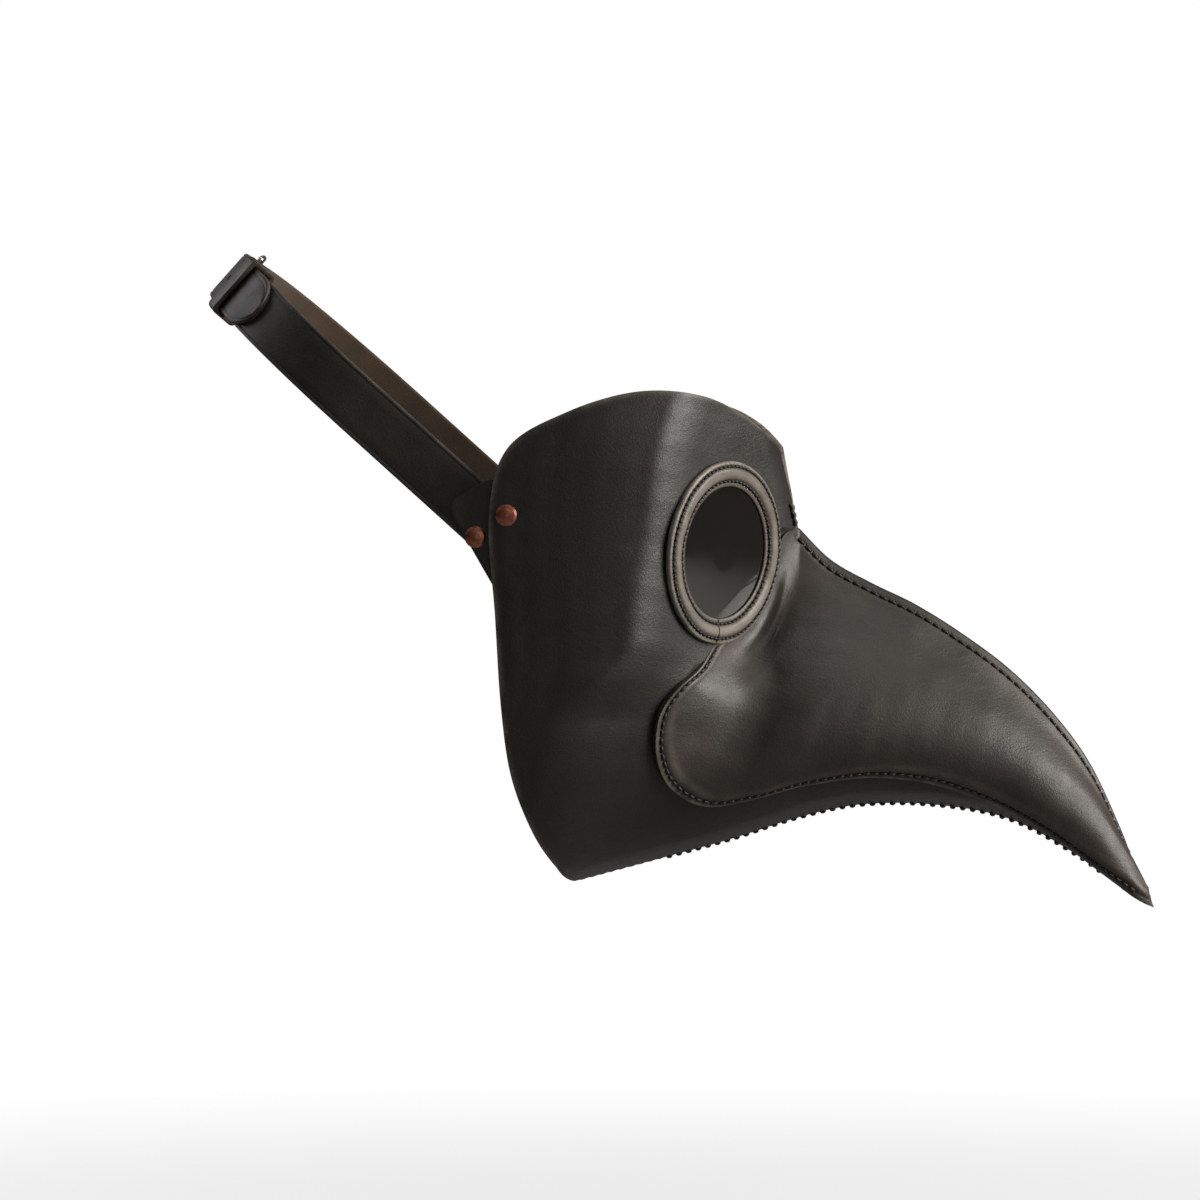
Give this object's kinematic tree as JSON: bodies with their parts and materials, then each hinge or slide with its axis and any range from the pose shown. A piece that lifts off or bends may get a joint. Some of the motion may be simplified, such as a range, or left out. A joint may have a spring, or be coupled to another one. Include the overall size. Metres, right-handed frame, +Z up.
{
  "type": "plague doctor mask",
  "caption": "Long-beaked leather costume mask with padded round eye rings, dark lenses, stitched seams and a buckled head strap.",
  "frame": {"origin": "middle plane of the mask, between the temples, at the height of the eyes and just behind the face panels' rear edge", "axes": "+X forward to the beak's tip, +Z up, the wearer's right side is -Y; the two halves are mirror images across the XZ plane"},
  "size_m": [0.3765, 0.1744, 0.2617],
  "materials": {
    "face_leather": "waxed black-brown leather, semi-gloss, mottled",
    "beak_leather": "waxed black-brown leather, rubbed lighter, semi-gloss",
    "ring_leather": "taupe grey padded leather, satin",
    "lens_glass": "dark smoked, glossy",
    "waxed_thread": "black waxed thread",
    "copper": "worn polished copper",
    "strap_leather": "black-brown strap leather, satin",
    "nickel": "nickel plate, polished"
  },
  "bodies": {
    "mask": {"face_panel_right": "face_leather", "face_panel_left": "face_leather", "beak_panel_right": "beak_leather", "beak_panel_left": "beak_leather", "eye_ring_right": "ring_leather", "eye_ring_left": "ring_leather", "lens_right": "lens_glass", "lens_left": "lens_glass", "eye_backing_right": "face_leather", "eye_backing_left": "face_leather", "ridge_stitching": "waxed_thread", "keel_stitching": "waxed_thread", "cheek_stitching_right": "waxed_thread", "cheek_stitching_left": "waxed_thread", "eye_stitching_right": "waxed_thread", "eye_stitching_left": "waxed_thread", "temple_rivet_right": "copper", "temple_rivet_left": "copper", "temple_burr_right": "copper", "temple_burr_left": "copper"},
    "head_strap": {"strap_tab_right": "strap_leather", "strap_tab_left": "strap_leather", "tab_rivet_right": "copper", "tab_rivet_left": "copper", "tab_burr_right": "copper", "tab_burr_left": "copper", "buckle_strap": "strap_leather", "holed_strap": "strap_leather", "chape_rivets": "copper"},
    "buckle": {"buckle_frame": "nickel"},
    "prong": {"buckle_prong": "nickel"},
    "keeper": {"strap_keeper": "strap_leather"}
  },
  "joints": [
    {"name": "head_strap_swing", "type": "hinge", "parent": "mask", "child": "head_strap", "pos_m": [0.011, 0, 0.014], "axis": [0, 1, 0], "range_deg": [-20, 35]},
    {"name": "buckle_tilt", "type": "hinge", "parent": "head_strap", "child": "buckle", "pos_m": [-0.10438, -0.00785, 0.10793], "axis": [0.6691, 0, 0.7431], "range_deg": [0, 6]},
    {"name": "prong_lift", "type": "hinge", "parent": "buckle", "child": "prong", "pos_m": [-0.10438, -0.00785, 0.10793], "axis": [0.6691, 0, 0.7431], "range_deg": [0, 10]},
    {"name": "keeper_slide", "type": "hinge", "parent": "head_strap", "child": "keeper", "pos_m": [-0.04746, 0, 0.05668], "axis": [0.6691, 0, 0.7431], "range_deg": [0, 12]}
  ]
}
